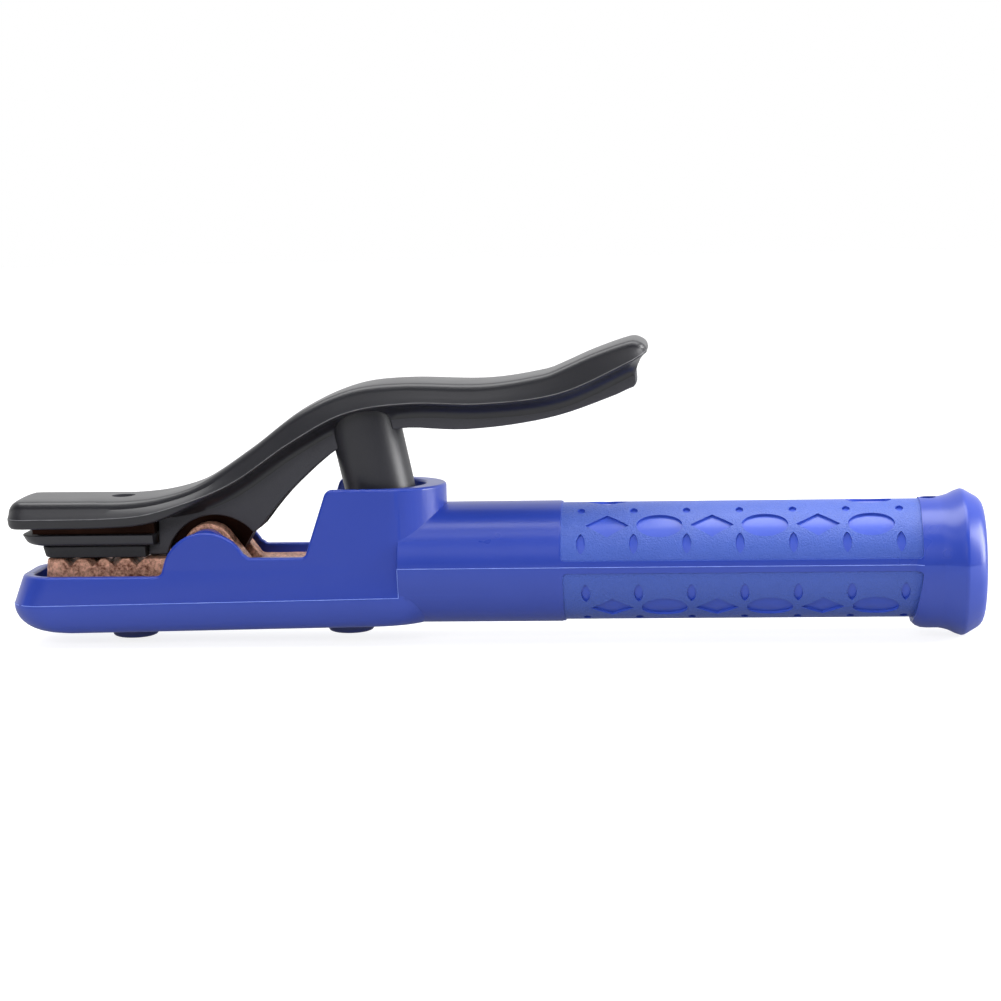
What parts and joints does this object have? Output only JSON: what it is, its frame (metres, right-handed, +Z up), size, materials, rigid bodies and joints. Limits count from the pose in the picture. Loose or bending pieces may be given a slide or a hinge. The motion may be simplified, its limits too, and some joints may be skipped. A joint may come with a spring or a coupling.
{
  "type": "electrode holder",
  "caption": "Sprung clamp for stick welding electrodes: blue insulated handle and jaw body, black lever, toothed copper jaw and a socket for the cable.",
  "frame": {"origin": "under the middle of the holder, at the height of the lowest point of the butt flare", "axes": "+X along the handle from the jaw to the butt, +Y across the holder, +Z up from the handle to the lever"},
  "size_m": [0.2495, 0.0374, 0.0771],
  "materials": {
    "blue_plastic": "blue glass-filled moulding, satin with a fine spark texture on the grip panels and glossy bands between them",
    "black_plastic": "black moulded phenolic, semi-gloss on top and dull at the sides",
    "arc_plate": "dull black heat-resistant board",
    "copper": "rough cast copper, pinkish, brighter on the tooth crests",
    "steel": "zinc-plated steel",
    "spring_steel": "dark oil-tempered wire"
  },
  "bodies": {
    "root": {"insulated_body": "blue_plastic", "conductor": "copper", "hinge_pin": "steel", "front_lock_washer": "steel", "rear_lock_washer": "steel", "front_body_screw": "steel", "rear_body_screw": "steel", "front_foot_cap": "blue_plastic", "rear_foot_cap": "blue_plastic", "spring_seat": "black_plastic", "cable_clamp_strip": "copper", "cable_screw_front": "steel", "cable_screw_rear": "steel", "handle_lock_screw": "steel", "main_spring": "spring_steel"},
    "lever": {"lever_cover": "black_plastic", "upper_arm": "copper", "cover_screw": "steel", "jaw_shroud": "black_plastic", "upper_jaw_pad": "arc_plate", "pad_rivet_front": "copper", "pad_rivet_rear": "copper", "spring_sleeve": "black_plastic", "spring_top_washer": "steel", "spring_post_screw": "steel"}
  },
  "joints": [
    {"name": "lever_hinge", "type": "hinge", "parent": "root", "child": "lever", "pos_m": [-0.072, 0, 0.025], "axis": [0, 1, 0], "range_deg": [0, 13], "stiffness_Nm_per_rad": 4, "springref_deg": -22.92, "deforming": ["main_spring"]}
  ]
}
